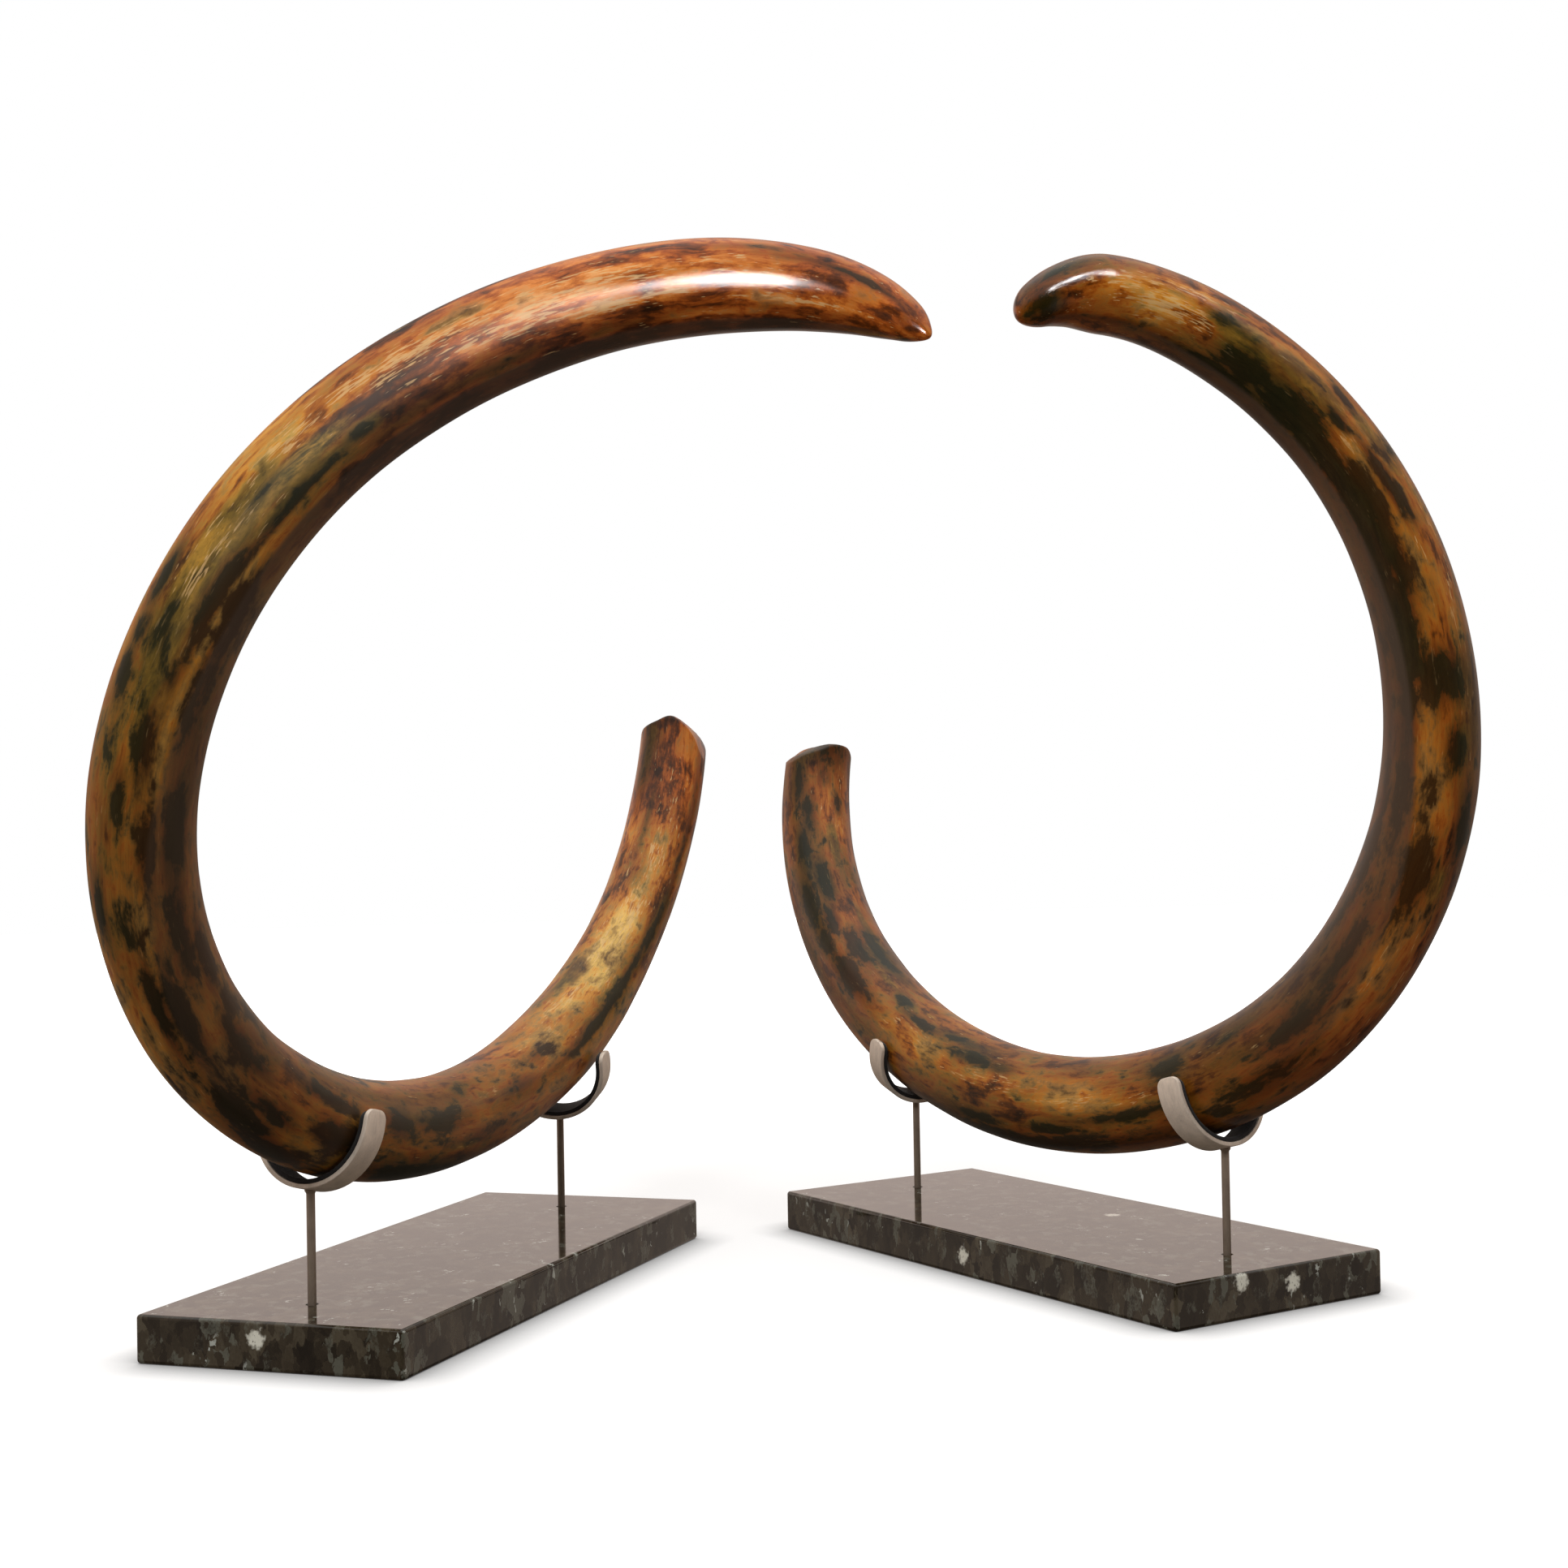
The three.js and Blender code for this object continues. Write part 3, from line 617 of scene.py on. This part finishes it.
def smooth_reader(rows):
    """Reads a value between (place, value) rows along a smooth curve that doesn't overshoot them."""
    places, values = np.array(rows, float).T
    steps = np.diff(values) / np.diff(places)
    before, after = steps[:-1], steps[1:]
    same_way = before * after > 0
    middle = np.where(same_way, 2 * before * after / np.where(same_way, before + after, 1), 0)
    slopes = np.concatenate([[steps[0]], middle, [steps[-1]]])

    def read(place):
        place = np.clip(place, places[0], places[-1])
        index = np.clip(np.searchsorted(places, place, side="right") - 1, 0, len(places) - 2)
        span = places[index + 1] - places[index]
        part = (place - places[index]) / span
        square = part * part
        cube = square * part
        return (
            (2 * cube - 3 * square + 1) * values[index]
            + (cube - 2 * square + part) * span * slopes[index]
            + (3 * square - 2 * cube) * values[index + 1]
            + (cube - square) * span * slopes[index + 1]
        )

    return read


class TuskFrame:
    """A tusk's centre line, with directions across it that are carried along without twisting"""

    def __init__(self, label):
        side = SIDES[label]
        controls = [(side * inward, back, up) for back, inward, up in CENTRE_LINE[label]]
        dense = curve_points(controls, np.linspace(0, 1, CURVE_SAMPLES))
        steps = np.linalg.norm(np.diff(dense, axis=0), axis=1)
        reached = np.concatenate([[0], np.cumsum(steps)])
        self.length = reached[-1]
        self.stations = np.linspace(0, self.length, STATIONS + 1)
        self.points = self.between(reached, dense, self.stations)
        tangents = np.gradient(self.points, self.stations, axis=0)
        self.tangents = tangents / np.linalg.norm(tangents, axis=1)[:, None]
        inward = np.array([side, 0.0, 0.0])
        carried = []
        for tangent in self.tangents:
            inward = inward - tangent * (inward @ tangent)
            inward = inward / np.linalg.norm(inward)
            carried.append(inward)
        self.inward = np.array(carried)
        self.over = np.cross(self.tangents, self.inward)

    @staticmethod
    def between(places, values, wanted):
        return np.stack([np.interp(wanted, places, values[:, k]) for k in range(3)], axis=-1)

    def place(self, distance, across, above):
        def read(values):
            return self.between(self.stations, values, distance)

        beyond = distance - np.clip(distance, 0, self.length)
        return (
            read(self.points)
            + read(self.tangents) * beyond[..., None]
            + read(self.inward) * across[..., None]
            + read(self.over) * above[..., None]
        )


def swell(fraction, angle):
    oval = 0.006 * np.cos(2 * angle + 5 * fraction)
    return 1 + oval + 0.005 * np.cos(3 * angle - 17 * fraction) * np.sin(31 * fraction)


def marks_field(marks, along, angle):
    """How strongly each point is marked, from 0 to 1"""
    total = np.zeros(along.shape)
    for place, turn, reach, spread, strength in marks:
        around = (np.degrees(angle) - turn + 180) % 360 - 180
        distance = ((along - place) / reach) ** 2 + (around / spread) ** 2
        total = np.maximum(total, strength * np.exp(-MARK_FALL * distance))
    return total


def painted_reflection_field(rows, along, angle):
    """The painted reflection's strength: full between its two edge angles, none outside them"""
    place, first, last, strength = np.array(rows, float).T
    start = np.interp(along, place, first)
    end = np.interp(along, place, last)
    turn = (np.degrees(angle) - start + 60) % 360 - 60
    rising = np.clip(turn / PAINTED_REFLECTION_EDGE, 0, 1)
    falling = np.clip((end - start - turn) / PAINTED_REFLECTION_EDGE, 0, 1)
    return np.interp(along, place, strength, left=0, right=0) * rising * falling


def relief(label, along, across, above):
    """Low bumps and long shallow furrows in the surface"""
    shift = RELIEF_SHIFT[label]
    height = np.zeros(along.size)
    flat = zip(along.ravel(), across.ravel(), above.ravel())
    for index, (a, b, c) in enumerate(flat):
        wide = noise.noise(Vector((22 * a + shift, 38 * b, 38 * c)))
        furrow = noise.noise(Vector((9 * a - shift, 170 * b, 170 * c)))
        height[index] = BUMP_HEIGHT * wide + FURROW_HEIGHT * furrow
    return height.reshape(along.shape)


def tusk_rows(label, frame_line):
    """Distances along the centre line and shares of the radius for every ring"""
    drop = smooth_reader(ROOT_DROP[label])
    angle = np.linspace(0, 2 * math.pi, TUSK_SIDES, endpoint=False)
    full = frame_line.length + TIP_PAST

    def cap(share):
        return drop(share * np.cos(angle)) + ROOT_CROWN * share ** 6

    rows = [(cap(share), share) for share in ROOT_SHARES]
    for part in np.linspace(0, 1, ROOT_RINGS + 1)[1:]:
        rows.append(((1 - part) * cap(1.0) + part * ROOT_ZONE, 1.0))
    body_end = full - TIP_ROUND
    for distance in np.linspace(ROOT_ZONE, body_end, BODY_RINGS + 1)[1:]:
        rows.append((np.full(TUSK_SIDES, distance), 1.0))
    for turn in np.linspace(0, 0.5 * math.pi, TIP_RINGS + 2)[1:-1]:
        rows.append((np.full(TUSK_SIDES, body_end + TIP_ROUND * math.sin(turn)), 1.0))
    distances = np.array([row[0] for row in rows])
    shares = np.array([row[1] for row in rows])[:, None]
    return angle[None, :] + np.zeros_like(distances), distances, shares, drop(0.0), full


def set_attribute(mesh, name, kind, values):
    made = mesh.attributes.new(name, kind, "POINT")
    key = "vector" if kind == "FLOAT_VECTOR" else "color"
    made.data.foreach_set(key, np.ascontiguousarray(values, dtype=np.float32).ravel())


def make_tusk(label):
    line = TuskFrame(label)
    angle, distance, share, root_middle, full = tusk_rows(label, line)
    fraction = np.clip(distance / full, 0, 1)
    to_tip = np.clip((full - distance) / TIP_ROUND, 0, 1)
    rounding = np.sqrt(1 - (1 - to_tip) ** 2)
    radius = 0.5 * smooth_reader(GIRTH[label])(fraction) * rounding * share * swell(fraction, angle)
    low_relief = relief(label, distance, radius * np.cos(angle), radius * np.sin(angle))
    radius = radius + share * rounding * low_relief
    across = radius * np.cos(angle)
    above = radius * np.sin(angle)
    rings = line.place(distance, across, above)
    root = line.place(np.array([root_middle]), np.zeros(1), np.zeros(1))
    tip = line.place(np.array([full]), np.zeros(1), np.zeros(1))
    points = np.concatenate([root, rings.reshape(-1, 3), tip])

    count = TUSK_SIDES
    ring_count = len(distance)
    last = len(points) - 1
    faces = []
    for ring in range(ring_count - 1):
        start = 1 + ring * count
        for i in range(count):
            right = (i + 1) % count
            faces.append((start + i, start + right, start + count + right, start + count + i))
    for i in range(count):
        right = (i + 1) % count
        faces.append((0, 1 + right, 1 + i))
        faces.append((last, last - count + i, last - count + right))
    tusk = make_object(f"{label}_tusk_polished", points, faces, IVORY, stand_place(label))

    # Where each point lies in the tusk's own grain, and how it is marked
    grain = np.stack([distance + GRAIN_SHIFT[label], across, above], axis=-1).reshape(-1, 3)
    grain = np.concatenate([[[root_middle, 0, 0]], grain, [[full, 0, 0]]])
    set_attribute(tusk.data, "grain", "FLOAT_VECTOR", grain)

    tables = (DARK_MARKS, OLIVE_MARKS, PALE_MARKS)
    fields = [marks_field(table[label], distance, angle) for table in tables]
    zone_rows = np.array(ZONES[label])
    warmth = np.interp(distance, zone_rows[:, 0], zone_rows[:, 1])
    mottling = np.interp(distance, zone_rows[:, 0], zone_rows[:, 2])
    polish = np.interp(distance, zone_rows[:, 0], zone_rows[:, 3])
    # Painted reflection of the pale studio along the inside of the curl
    painted_reflection = painted_reflection_field(PAINTED_REFLECTION[label], distance, angle)
    ones = np.ones_like(distance)

    def spread(values):
        flat = np.stack(values, axis=-1).reshape(-1, 4)
        return np.concatenate([flat[:1], flat, flat[-1:]])

    set_attribute(tusk.data, "marks", "FLOAT_COLOR", spread([*fields, ones]))
    set_attribute(tusk.data, "zones", "FLOAT_COLOR", spread([warmth, mottling, painted_reflection, polish]))
    hand_over(tusk, f"{label}_tusk")


# Cradles, posts and slabs


def band_points(size, radius, arm):
    """Rings of a band bent to a U, with rounded corners at its ends and softened edges"""
    corner, thickness, edge = size["corner"], size["thickness"], size["edge"]
    stops = []
    end_steps = [0.0, 0.02, 0.06, 0.12, 0.2, 0.3, 0.42, 0.56, 0.72, 1.0]
    for step in end_steps:
        stops.append((-1.0, 0.0, arm - corner * step, corner * step))
    for angle in np.linspace(0, math.pi, BEND_STEPS + 1):
        stops.append((-math.cos(angle), -math.sin(angle), 0.0, corner))
    for step in reversed(end_steps):
        stops.append((1.0, 0.0, arm - corner * step, corner * step))
    rings = []
    for x, z, lift, from_end in stops:
        cut = corner - math.sqrt(corner ** 2 - (corner - from_end) ** 2)
        half = 0.5 * size["width"] - cut
        soft = min(edge, 0.3 * thickness) * (0.35 if from_end == 0 else 1.0)
        outline = []
        quarters = [(soft, half - soft, 90), (thickness - soft, half - soft, 0)]
        quarters += [(thickness - soft, soft - half, -90), (soft, soft - half, -180)]
        for depth, y, start in quarters:
            for turn in (90, 60, 30, 0):
                direction = math.radians(start + turn)
                outline.append((depth + soft * math.cos(direction), y + soft * math.sin(direction)))
        rings.append([((radius - depth) * x, y, (radius - depth) * z + lift) for depth, y in outline])
    return rings


def make_band(name, size, radius, arm, place, material):
    rings = band_points(size, radius, arm)
    size_of_ring = len(rings[0])
    points = [point for ring in rings for point in ring]
    faces = []
    for ring in range(len(rings) - 1):
        for i in range(size_of_ring):
            right = (i + 1) % size_of_ring
            a = ring * size_of_ring
            faces.append((a + i, a + right, a + size_of_ring + right, a + size_of_ring + i))
    last = len(points) - size_of_ring
    faces.append(tuple(range(size_of_ring - 1, -1, -1)))
    faces.append(tuple(range(last, last + size_of_ring)))
    band = make_object(name, points, faces, material, place)
    run = []
    for number, ring in enumerate(rings):
        run += [(number * BAND_GRAIN_STEP, y, x) for x, y, z in ring]
    set_attribute(band.data, "grain", "FLOAT_VECTOR", np.array(run))
    return band


def lathe(name, profile, sides, material, place):
    """A solid turned about Z from (radius, height) points that start and end on the axis"""
    points = []
    faces = []
    inner = profile[1:-1]
    for radius, height in inner:
        for i in range(sides):
            angle = 2 * math.pi * i / sides
            points.append((radius * math.cos(angle), radius * math.sin(angle), height))
    for ring in range(len(inner) - 1):
        for i in range(sides):
            right = (i + 1) % sides
            a = ring * sides
            faces.append((a + i, a + right, a + sides + right, a + sides + i))
    bottom = len(points)
    points.append((0, 0, profile[0][1]))
    points.append((0, 0, profile[-1][1]))
    last = (len(inner) - 1) * sides
    for i in range(sides):
        right = (i + 1) % sides
        faces.append((bottom, right, i))
        faces.append((bottom + 1, last + i, last + right))
    turned = make_object(name, points, faces, material, place)
    run = [(z, x, y) for x, y, z in points]
    set_attribute(turned.data, "grain", "FLOAT_VECTOR", np.array(run))
    return turned


def make_post(label, place_name, end):
    """A round post, with a small weld bead where it meets the strap"""
    radius, bottom, top = POST["radius"], POST["bottom"], POST["top"]
    profile = [(0, bottom), (radius - POST_CHAMFER, bottom), (radius, bottom + POST_CHAMFER)]
    profile += [(radius + past, top + rise) for past, rise in WELD_BEAD]
    profile += [(0, top + WELD_TOP)]
    place = stand_place(label) @ Matrix.Translation((0, end * POST["from_middle"], 0))
    post = lathe(f"{label}_{place_name}_post_steel", profile, POST_SIDES, POST_STEEL, place)
    hand_over(post, f"{label}_{place_name}_post")


def apply_modifier(target, kind, **settings):
    """Makes a modifier part of the target's mesh."""
    modifier = target.modifiers.new(kind.title(), kind)
    for name, value in settings.items():
        setattr(modifier, name, value)
    graph = bpy.context.evaluated_depsgraph_get()
    mesh = bpy.data.meshes.new_from_object(target.evaluated_get(graph))
    target.modifiers.clear()
    target.data = mesh


def make_slab(label):
    x, y, z = 0.5 * SLAB["width"], 0.5 * SLAB["length"], SLAB["height"]
    points = [(a * x, b * y, c * z) for c in (0, 1) for b in (-1, 1) for a in (-1, 1)]
    faces = [(0, 2, 3, 1), (4, 5, 7, 6), (0, 1, 5, 4), (2, 6, 7, 3), (0, 4, 6, 2), (1, 3, 7, 5)]
    slab = make_object(f"{label}_slab_polished", points, faces, GRANITE)
    radius, mouth, above = HOLE["radius"], HOLE["mouth"], z + DRILL_ABOVE
    profile = [(0, z - HOLE["depth"]), (radius, z - HOLE["depth"])]
    profile += [(radius, z - HOLE["mouth_depth"]), (mouth, z), (mouth, above), (0, above)]
    apply_modifier(slab, "BEVEL", width=SLAB["rounding"], segments=5, limit_method="ANGLE")
    for end in (-1, 1):
        place = Matrix.Translation((0, end * POST["from_middle"], 0))
        drill = lathe("drill", profile, DRILL_SIDES, GRANITE, place)
        apply_modifier(slab, "BOOLEAN", object=drill, operation="DIFFERENCE", solver="EXACT")
        bpy.data.objects.remove(drill)
    slab.data.shade_smooth()
    slab.data.set_sharp_from_angle(angle=math.radians(SHARP_ANGLE))
    # The large faces stay flat, so that what they mirror stays straight.
    for face in slab.data.polygons:
        face.use_smooth = face.area < LARGE_FACE
    slab.data.transform(stand_place(label))
    hand_over(slab, f"{label}_slab")


def make_stand(label):
    make_slab(label)
    radius, arm = CRADLE["radius"], CRADLE["arm"]
    inner = radius - STRAP["thickness"] - GAP
    for place_name, end in (("front", -1), ("back", 1)):
        make_post(label, place_name, end)
        place = cradle_place(label, end)
        strap_name = f"{label}_{place_name}_cradle"
        strap = make_band(f"{strap_name}_strap", STRAP, radius, arm, place, STRAP_STEEL)
        hand_over(strap, strap_name)
        lining_name = f"{label}_{place_name}_lining"
        lining = make_band(f"{lining_name}_felt", LINING, inner, arm - LINING_SHORT, place, FELT)
        hand_over(lining, lining_name)


for label in SIDES:
    make_stand(label)
    make_tusk(label)


# Floor, light and camera

# How far from the slabs the painted contact shadow reaches, how steeply it deepens, and how far the floor
# goes
CONTACT_REACH = 0.035
CONTACT_POWER = 1.2
FLOOR_REACH = 6.0


def make_floor():
    """A pale floor that glows a little more away from the object, so that only its painted contact shadows
    show.
    It lights and mirrors nothing: the world's dim lower half does that."""
    material, tree, shader = new_material("pale_floor")
    place = node(tree, "ShaderNodeTexCoord").outputs["Object"]
    away = node(tree, "ShaderNodeVectorMath", {0: place}, operation="LENGTH").outputs["Value"]
    shader.inputs["Roughness"].default_value = 0.9
    shader.inputs["Specular IOR Level"].default_value = 0.0
    shader.inputs["Emission Color"].default_value = (1.0, 1.0, 1.0, 1.0)
    glow = maths(tree, "ADD", maths(tree, "MULTIPLY", window(tree, away, 0.45, 1.1), 0.45), 0.56)
    # Painted contact shadow: the floor's glow and colour darken where the slabs hide it from the sky.
    open_sky = node(tree, "ShaderNodeAmbientOcclusion", {"Distance": CONTACT_REACH}, samples=12)
    painted_contact_shadow = maths(tree, "POWER", open_sky.outputs["AO"], CONTACT_POWER)
    put(tree, shader.inputs["Emission Strength"], maths(tree, "MULTIPLY", glow, painted_contact_shadow))
    base = mixed(tree, painted_contact_shadow, (0.0, 0.0, 0.0, 1.0), (0.45, 0.45, 0.45, 1.0))
    put(tree, shader.inputs["Base Color"], base)
    reach = FLOOR_REACH
    corners = [(-reach, -reach, 0), (reach, -reach, 0), (reach, reach, 0), (-reach, reach, 0)]
    floor = make_object("floor", corners, [(0, 1, 2, 3)], material)
    floor.visible_diffuse = False
    floor.visible_glossy = False


# The studio's light from each side, as linear colours
STUDIO_FRONT = (0.035, 0.030, 0.028, 1.0)
STUDIO_BELOW = (0.34, 0.29, 0.25, 1.0)
STUDIO_SIDES = (0.55, 0.45, 0.385, 1.0)
STUDIO_WALL = (0.82, 0.675, 0.61, 1.0)
STUDIO_TOP = (1.40, 1.36, 1.32, 1.0)
# What a mirrored view leaves of the front, sides and top, and what it shows below
STUDIO_MIRRORED = (0.62, 0.62, 0.62, 1.0)
BELOW_MIRRORED = (0.055, 0.044, 0.036, 1.0)


def make_world():
    """A studio with a lit wall behind the object, soft light from above and a dark front.
    The camera itself sees plain white."""
    world = bpy.data.worlds.new("studio")
    world.use_nodes = True
    tree = world.node_tree
    direction = node(tree, "ShaderNodeTexCoord").outputs["Generated"]
    parts = node(tree, "ShaderNodeSeparateXYZ", {0: direction}).outputs
    depth, rise = parts["Y"], parts["Z"]
    aside = window(tree, depth, -0.66, -0.36)
    light = mixed(tree, aside, STUDIO_FRONT, STUDIO_SIDES)
    behind = window(tree, depth, 0.30, 0.60)
    low_edge = window(tree, rise, 0.03, 0.11)
    high_edge = window(tree, maths(tree, "MULTIPLY", rise, -1.0), -0.52, -0.32)
    wall = maths(tree, "MULTIPLY", behind, maths(tree, "MULTIPLY", low_edge, high_edge))
    rays = node(tree, "ShaderNodeLightPath").outputs
    light = mixed(tree, window(tree, rise, 0.45, 0.80), light, STUDIO_TOP)
    dimmed = mixed(tree, 1.0, light, STUDIO_MIRRORED, "MULTIPLY")
    light = mixed(tree, rays["Is Glossy Ray"], light, dimmed)
    below = mixed(tree, rays["Is Glossy Ray"], STUDIO_BELOW, BELOW_MIRRORED)
    light = mixed(tree, window(tree, maths(tree, "MULTIPLY", rise, -1.0), 0.15, 0.55), light, below)
    light = mixed(tree, wall, light, STUDIO_WALL)
    light = mixed(tree, rays["Is Camera Ray"], light, (1.0, 1.0, 1.0, 1.0))
    put(tree, tree.nodes["Background"].inputs["Color"], light)
    SCENE.world = world


def soft_box(name, place, target, size, power, spread=180, mirrored=True, only_on=None):
    """An area light. A light for one piece only is a highlight in its polish."""
    data = bpy.data.lights.new(name, "AREA")
    data.shape = "RECTANGLE"
    data.size, data.size_y = size
    data.energy = power
    data.spread = math.radians(spread)
    light = bpy.data.objects.new(name, data)
    light.location = place
    light.rotation_euler = (Vector(target) - Vector(place)).to_track_quat("-Z", "Y").to_euler()
    light.visible_camera = False
    light.visible_glossy = mirrored
    if only_on:
        light.visible_diffuse = False
        receivers = bpy.data.collections.new(f"{name}_receivers")
        receivers.objects.link(bpy.data.objects[only_on])
        light.light_linking.receiver_collection = receivers
    SCENE.collection.objects.link(light)


def make_camera():
    yaw, rise, roll = (math.radians(CAMERA[name]) for name in ("yaw", "rise", "roll"))
    level_right = Vector((math.cos(yaw), -math.sin(yaw), 0))
    level_ahead = Vector((math.sin(yaw), math.cos(yaw), 0))
    ahead = math.cos(rise) * level_ahead + math.sin(rise) * Vector((0, 0, 1))
    level_up = -math.sin(rise) * level_ahead + math.cos(rise) * Vector((0, 0, 1))
    right = math.cos(roll) * level_right + math.sin(roll) * level_up
    up = -math.sin(roll) * level_right + math.cos(roll) * level_up
    data = bpy.data.cameras.new("camera")
    data.lens = LENS
    data.sensor_width = SENSOR
    data.shift_x = SHIFT
    data.clip_start, data.clip_end = 0.05, 50
    camera = bpy.data.objects.new("camera", data)
    turn = Matrix((right, up, -ahead)).transposed().to_4x4()
    place = PAIR_OFFSET + Vector((CAMERA["x"], CAMERA["y"], CAMERA["z"]))
    camera.matrix_world = Matrix.Translation(place) @ turn
    SCENE.collection.objects.link(camera)
    SCENE.camera = camera


# Two large lights for the object, and a small one for the highlight on each tip
LIGHTS = [
    {
        "name": "key_light", "place": (-1.02, -2.32, 1.73), "target": (-0.03, -0.45, 0.6),
        "size": (0.8, 0.7), "power": 34, "mirrored": False,
    },
    {
        "name": "left_tip_light", "place": (-0.30, -1.10, 0.60), "target": (-0.05, -0.45, 0.605),
        "size": (0.30, 0.42), "power": 1.2, "spread": 38, "only_on": "left_tusk_polished",
    },
    {
        "name": "side_light", "place": (1.36, -1.1, 2.0), "target": (0.15, -0.3, 0.6),
        "size": (0.35, 0.35), "power": 6, "mirrored": False,
    },
    {
        "name": "right_tip_light", "place": (0.77, -0.82, 1.49), "target": (0.14, -0.31, 0.64),
        "size": (0.11, 0.11), "power": 0.12, "spread": 34, "only_on": "right_tusk_polished",
    },
]

make_floor()
make_world()
for settings in LIGHTS:
    soft_box(**settings)
make_camera()
SCENE.view_settings.view_transform = "Standard"
